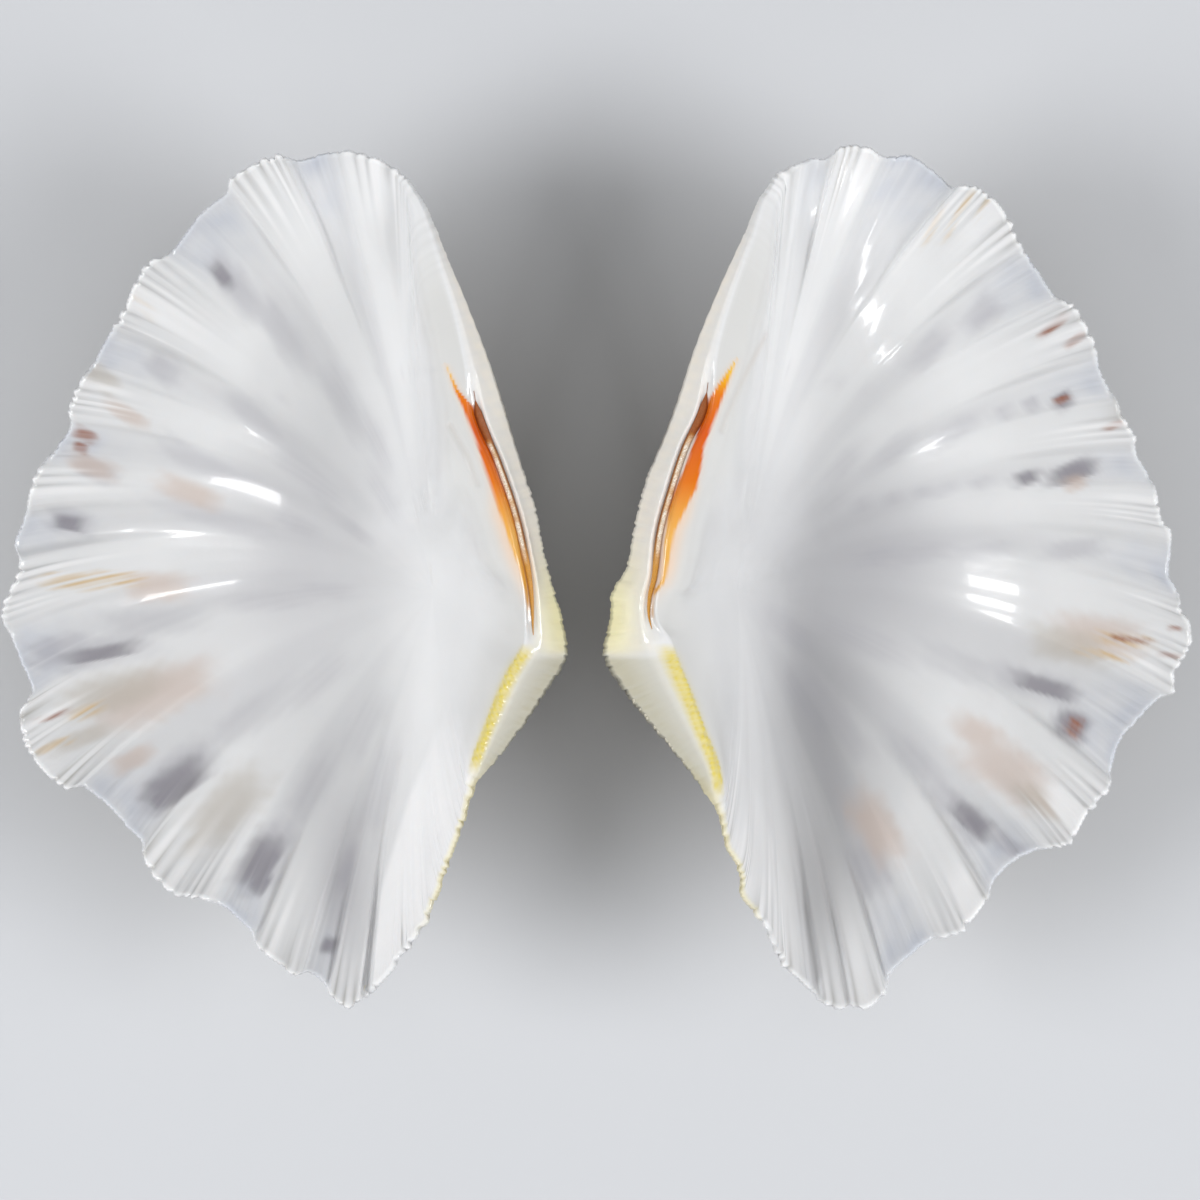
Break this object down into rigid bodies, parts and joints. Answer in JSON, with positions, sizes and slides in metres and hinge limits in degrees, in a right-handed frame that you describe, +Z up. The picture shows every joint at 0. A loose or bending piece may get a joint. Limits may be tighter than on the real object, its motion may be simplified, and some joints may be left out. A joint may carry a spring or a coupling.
{
  "type": "china clam shell",
  "caption": "Open bivalve shell in two halves lying hollow side up, with scalloped thin margins, a thick hinge plate and torn ligament in the hinge groove.",
  "frame": {"origin": "centre of the pair's bounding box, at the level of the surface that the valves rest on", "axes": "+Z up out of the hollows, +X from the left valve to the right one, +Y towards the longer, hinge end of both valves"},
  "size_m": [0.1664, 0.1208, 0.0312],
  "materials": {
    "shell": "gloss",
    "ligament": "matte"
  },
  "bodies": {
    "root": {"valve_left": "shell", "valve_right": "shell", "ligament_left": "ligament", "ligament_right": "ligament"}
  },
  "joints": []
}
